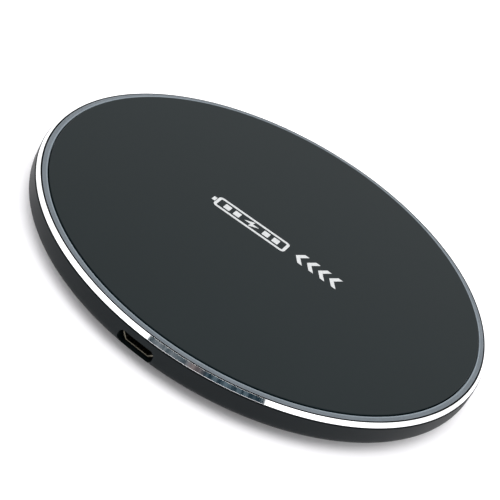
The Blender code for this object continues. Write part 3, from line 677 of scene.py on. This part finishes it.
def make_cover():
    """The charging face, a disc with a soft edge."""
    edge = 0.16 * MM
    rim = filleted(
        [
            (0, cover_low.z, 0),
            (COVER_RADIUS, cover_low.z, edge / 2),
            (COVER_RADIUS, COVER_TOP, edge),
            (0, COVER_TOP, 0),
        ],
        closed=False,
    )
    flat = [(radius * MM, COVER_TOP) for radius in (44, 36, 28, 20, 12, 5)]
    cover = turned("top_cover_disc", [*rim[:-1], *flat, rim[-1]], soft_touch(), closed=False)
    place(cover, "cover", "top_cover")


def make_light_ring():
    """The domed light guide, with its leg down to the LEDs."""
    low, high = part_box("light_ring")
    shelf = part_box("inner_frame")[1].z
    leg_in, leg_out = RING_LEG
    lip = COVER_RADIUS + FACE_GAP
    edge = cad_high.z - RIM_STEP
    dome = [(lip + (high.x - lip) * s, high.z - (high.z - edge) * s**1.75, 0) for s in (0.25, 0.5, 0.75)]
    ring = turned(
        "light_guide_ring",
        filleted(
            [
                (leg_in, low.z, 0.1 * MM),
                (leg_out, low.z, 0.1 * MM),
                (leg_out, RING_UNDERSIDE, 0.1 * MM),
                (high.x, RING_UNDERSIDE, 0.1 * MM),
                (high.x, edge, 0.04 * MM),
                *dome[::-1],
                (lip, high.z, 0.05 * MM),
                (lip, shelf, 0.05 * MM),
                (leg_in, shelf, 0.05 * MM),
            ]
        ),
        frosted_guide(),
    )
    notch = bmesh.new()
    bottom, top = NOTCH_HEIGHTS
    outline = ((-NOTCH_HALF, bottom), (NOTCH_HALF, bottom), (NOTCH_HALF, top), (-NOTCH_HALF, top))
    add_loft(notch, [[(x, -depth, z) for x, z in outline] for depth in NOTCH_DEPTHS])
    cut(ring, "socket_notch", notch)
    place(ring, "light_guide", "light_ring")


def make_bezel():
    """The trim ring: a flat chamfer outside, and a skirt that goes down into the case."""
    low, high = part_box("bezel_ring")
    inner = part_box("light_ring")[1].x + RIM_GAP
    skirt = inner + 0.15 * MM
    bezel = turned(
        "bezel_trim_ring",
        filleted(
            [
                (inner, low.z, 0),
                (skirt, low.z, 0),
                (skirt, BEZEL_BOTTOM, 0),
                (high.x, BEZEL_BOTTOM, 0.01 * MM),
                (high.x, cad_high.z - BEZEL_DROP, 0.03 * MM),
                (inner + 0.05 * MM, high.z, 0.02 * MM),
                (inner, high.z - 0.05 * MM, 0.02 * MM),
            ]
        ),
        cut_aluminium(),
    )
    place(bezel, "bezel", "bezel_ring")


def rolled(radius, start, end, reach, steps):
    """Points of the roll from the upright wall at (radius, start) in to the flat."""
    points = []
    for step in range(steps + 1):
        angle = math.pi / 2 * step / steps
        inwards = reach * (1 - math.cos(angle) ** (2 / ROLL_POWER))
        down = (start - end) * math.sin(angle) ** (2 / ROLL_POWER)
        points.append(Vector((radius - inwards, start - down)))
    return points


def make_case():
    """The lower shell, with the foot's groove, the vents and the socket's slot."""
    low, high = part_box("lower_case")
    foot_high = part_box("foot_ring")[1]
    radius = high.x
    groove_in, groove_out = FOOT_INNER - FOOT_CLEARANCE, foot_high.x + FOOT_CLEARANCE
    groove_top = foot_high.z + 0.05 * MM
    rebate_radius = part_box("light_ring")[1].x + RIM_GAP + 0.2 * MM
    tongue_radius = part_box("bezel_ring")[1].x - GROOVE
    rim_height = BEZEL_BOTTOM - GROOVE
    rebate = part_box("bezel_ring")[0].z - 0.1 * MM
    edge = 0.12 * MM
    under = filleted(
        [
            (0, low.z, 0),
            (groove_in, low.z, edge),
            (groove_in, groove_top, edge / 2),
            (groove_out, groove_top, edge / 2),
            (groove_out, low.z, edge / 2),
            (groove_out + 1 * MM, low.z, 0),
        ],
        closed=False,
    )
    side = rolled(radius, ROLL_START, low.z, ROLL_REACH, 28)[::-1]
    shares = [step / WALL_STEPS for step in range(WALL_STEPS)]
    wall = [(radius - WALL_LEAN * s**2, ROLL_START + (rim_height - ROLL_START) * s, 0) for s in shares]
    rim = filleted(
        [
            *wall,
            (radius - WALL_LEAN, rim_height, 0.08 * MM),
            (tongue_radius, rim_height, 0),
            (tongue_radius, high.z, 0.02 * MM),
            (rebate_radius, high.z, 0.02 * MM),
            (rebate_radius, rebate, 0),
            (radius - CASE_WALL, rebate, 0.1 * MM),
            (radius - CASE_WALL, ROLL_START, 0),
        ],
        closed=False,
    )
    inside = rolled(radius - CASE_WALL, ROLL_START + 0.2 * MM, CASE_FLOOR, ROLL_REACH - CASE_WALL, 10)
    outline = [*under[:-1], *side[1:], *rim[1:-1], *inside, Vector((0, CASE_FLOOR))]
    case = turned("case_shell", outline, moulded_black(), closed=False)

    vents = bmesh.new()
    width, length, corner = VENT_SIZE
    for vent in range(VENT_COUNT):
        turn = math.tau * (vent + 0.5) / VENT_COUNT
        along = Vector((math.cos(turn), math.sin(turn), 0))
        across = Vector((-along.y, along.x, 0))
        sections = []
        for height, flare in VENT_FLARE:
            shape = rounded_box(width + flare, length + flare, corner + flare / 2)
            up = Vector((0, 0, height))
            sections.append([along * (VENT_CIRCLE + y) + across * x + up for x, y in shape])
        add_loft(vents, sections)
    cut(case, "vents", vents)

    slot = bmesh.new()
    width, height, corner = SOCKET_SLOT
    sections = []
    for depth, flare in SLOT_FLARE:
        shape = rounded_box(width + flare, height + flare, corner + flare / 2)
        sections.append([(x, depth, SOCKET_HEIGHT + z) for x, z in shape])
    add_loft(slot, sections)
    cut(case, "socket_slot", slot)
    place(case, "case", "lower_case")


def make_foot():
    """The silicone ring, with two grooves that leave three ribs to stand on."""
    low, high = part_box("foot_ring")
    soft, groove = 0.3 * MM, 0.22 * MM
    corners = [(FOOT_INNER, high.z, 0.05 * MM), (FOOT_INNER, low.z, soft)]
    ribs = 3
    width = (high.x - FOOT_INNER) / ribs
    for rib in range(1, ribs):
        middle = FOOT_INNER + rib * width
        corners += [
            (middle - 0.3 * MM, low.z, 0.12 * MM),
            (middle - 0.12 * MM, low.z + groove, 0.05 * MM),
            (middle + 0.12 * MM, low.z + groove, 0.05 * MM),
            (middle + 0.3 * MM, low.z, 0.12 * MM),
        ]
    corners += [(high.x, low.z, soft), (high.x, high.z, 0.05 * MM)]
    place(turned("silicone_foot_ring", filleted(corners), silicone()), "foot", "foot_ring")


# ---------------------------------------------------------------- the socket


def socket_section(grow, y):
    """The micro-USB outline grown by grow on all sides, at depth y."""
    low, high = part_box("socket_shell")
    half, top, bottom = SHELL_HALF + grow, high.z + grow, low.z - grow
    cut_x, cut_z = SHELL_SLANT
    tight, easy = max(0.35 * MM + grow, 0.08 * MM), max(0.4 * MM + grow, 0.1 * MM)
    shape = filleted(
        [
            (half, bottom + cut_z, easy),
            (half, top, tight),
            (-half, top, tight),
            (-half, bottom + cut_z, easy),
            (-half + cut_x, bottom, easy),
            (half - cut_x, bottom, easy),
        ]
    )
    return [Vector((x, y, z)) for x, z in shape]


def make_shell():
    """The socket's folded steel shell with its two solder feet."""
    low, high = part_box("socket_shell")
    wall = SHELL_WALL
    front, back = low.y, high.y
    profile = (
        (0, back),
        (0, front + 0.5 * MM),
        (0, front + 0.06 * MM),
        (-0.05 * MM, front),
        (-wall + 0.07 * MM, front),
        (-wall, front + 0.07 * MM),
        (-wall, back),
    )
    mesh = bmesh.new()
    loops = [[mesh.verts.new(point) for point in socket_section(grow, y)] for grow, y in profile]
    for first, second in zip(loops, loops[1:] + loops[:1]):
        for at in range(len(first)):
            after = (at + 1) % len(first)
            mesh.faces.new((first[at], first[after], second[after], second[at]))
    for side in (-1, 1):
        inner, outer = (side * reach for reach in SHELL_FOOT_REACH)
        foot_low, foot_high = SHELL_FOOT_LEVELS
        shape = [(inner, foot_low), (outer, foot_low), (outer, foot_high), (inner, foot_high)]
        add_loft(mesh, [[(x, y, z) for x, z in shape] for y in (back - 1.6 * MM, back - 0.2 * MM)])
    place(linked("socket_steel_shell", mesh, plated_steel()), "socket_shell", "socket_shell")


def make_insulator():
    """The block that closes the socket's back, and the tongue that carries its contacts."""
    low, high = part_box("socket_insulator")
    block = bmesh.new()
    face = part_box("socket_shell")[1].y - 1.2 * MM
    inset = -SHELL_WALL - 0.06 * MM
    sections = [socket_section(inset, y) for y in (high.y, face + 0.05 * MM)]
    add_loft(block, [*sections, socket_section(inset - 0.05 * MM, face)])
    width, thickness, corner = TONGUE_SIZE
    tongue = []
    for y, shrink in ((face + 0.3 * MM, 0), (low.y + 0.15 * MM, 0), (low.y, 0.1 * MM)):
        shape = rounded_box(width - 2 * shrink, thickness - 2 * shrink, corner)
        tongue.append([(x, y, TONGUE_HEIGHT + z) for x, z in shape])
    add_loft(block, tongue)
    black = moulded_insert("socket_plastic", (0.010, 0.010, 0.011), (0.022, 0.022, 0.024), 0.4)
    insulator = linked("socket_tongue_block", block, black)
    place(insulator, "chip", "socket_insulator")


# ---------------------------------------------------------------- the printed pictogram

MARK_CENTRE = Vector((0.3, 1.4)) * MM
MARK_ANGLE = math.radians(184)  # it reads from the far side of the socket
MARK_HEIGHT = 4.2 * MM
MARK_LENGTH = 31.4 * MM
STROKE = 0.65 * MM  # of the battery's outline
BATTERY_LENGTH = 17.6 * MM
BATTERY_NUB = 0.9 * MM
NUB_GAP = 0.15 * MM
BAR_OFFSET = 3.6 * MM  # of the inner bars from the battery's middle
BAR_PITCH = 2.4 * MM
BAR_SIZE = (1.5 * MM, MARK_HEIGHT - 2.4 * MM, 0.15 * MM)  # width, height and corner radius


def make_pictogram():
    """Four chevrons and a battery with a bolt, a generic sign for fast charging."""
    ink = bmesh.new()
    turn = Matrix.Rotation(MARK_ANGLE, 2)

    def stamp(points, hole=None):
        """A thin prism on the cover, with a hole of as many points, both in the mark's own plane."""
        levels = (COVER_TOP, COVER_TOP + INK)
        loops = []
        for outline in filter(None, (points, hole)):
            flat = [turn @ Vector(point) + MARK_CENTRE for point in outline]
            loops.append([[ink.verts.new((*point, level)) for point in flat] for level in levels])
        for low, high in loops:
            for at in range(len(low)):
                after = (at + 1) % len(low)
                ink.faces.new((low[at], low[after], high[after], high[at]))
        if not hole:
            ink.faces.new(loops[0][0])
            ink.faces.new(loops[0][1])
            return
        for outer, inner in zip(*loops):
            for at in range(len(outer)):
                after = (at + 1) % len(outer)
                ink.faces.new((outer[at], outer[after], inner[after], inner[at]))

    half = MARK_HEIGHT / 2
    left = -MARK_LENGTH / 2
    pitch, depth, thick = 2.75 * MM, 1.35 * MM, 1.1 * MM
    for number in range(4):
        x = left + number * pitch
        tip, back = x + thick + depth, x + depth
        stamp([(x, -half), (x + thick, -half), (tip, 0), (x + thick, half), (x, half), (back, 0)])
    right = MARK_LENGTH / 2 - BATTERY_NUB
    middle = right - BATTERY_LENGTH / 2

    def shifted(shape):
        return [(x + middle, y) for x, y in shape]

    outer = rounded_box(BATTERY_LENGTH, MARK_HEIGHT, 0.9 * MM)
    inner = rounded_box(BATTERY_LENGTH - 2 * STROKE, MARK_HEIGHT - 2 * STROKE, 0.3 * MM)
    stamp(shifted(outer), shifted(inner))
    near, far, wide = right + NUB_GAP, right + BATTERY_NUB, 0.75 * MM
    stamp([(near, -wide), (far, -wide), (far, wide), (near, wide)])
    for side in (-1, 1):
        for number in range(2):
            x = side * (BAR_OFFSET + BAR_PITCH * number)
            stamp(shifted([(x + u, v) for u, v in rounded_box(*BAR_SIZE)]))
    bolt = ((0.35, 1.25), (-1.75, -0.2), (-0.2, -0.2), (-0.35, -1.25), (1.75, 0.2), (0.2, 0.2))
    stamp(shifted([(x * MM, y * MM) for x, y in bolt]))
    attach(linked("charging_pictogram", ink, printed_ink()), "root")


# ---------------------------------------------------------------- the inner parts


def finish_inner_parts():
    """Gives each packed inner node its material."""
    black_frame = moulded_insert("frame_plastic", (0.022, 0.022, 0.024), (0.034, 0.034, 0.036), 0.55)
    epoxy = moulded_insert("chip_epoxy", (0.011, 0.011, 0.012), (0.020, 0.020, 0.021), 0.5)
    glazed = moulded_insert("resistor_glaze", (0.022, 0.022, 0.026), (0.038, 0.038, 0.044), 0.3)
    zinc = plated_steel("zinc_plated_steel", (0.66, 0.66, 0.64), (0.54, 0.54, 0.53))
    can = plated_steel("component_can", (0.50, 0.50, 0.51), (0.40, 0.40, 0.41))
    by_slot = {
        "tape": crepe_tape(),
        "frame": black_frame,
        "screw": zinc,
        "coil": enamelled_copper(),
        "ferrite": sintered_ferrite(),
        "foam": open_foam(),
        "board": solder_mask(),
        "chip": epoxy,
        "capacitor": fired_ceramic(),
        "can": can,
        "led": led_package(),
        "resistor": glazed,
        "contact": gold_plating(),
    }
    for row in frame["record"]["subparts"]:
        finish = by_slot.get(row["material_slot"])
        node = frame["nodes"][row["node"]]
        if finish and not node.hide_render:
            node.data.materials.clear()
            node.data.materials.append(finish)


# ---------------------------------------------------------------- the whole scene


make_camera()
make_tent()
make_floor()
make_cover()
make_light_ring()
make_bezel()
make_case()
make_foot()
make_shell()
make_insulator()
make_pictogram()
finish_inner_parts()
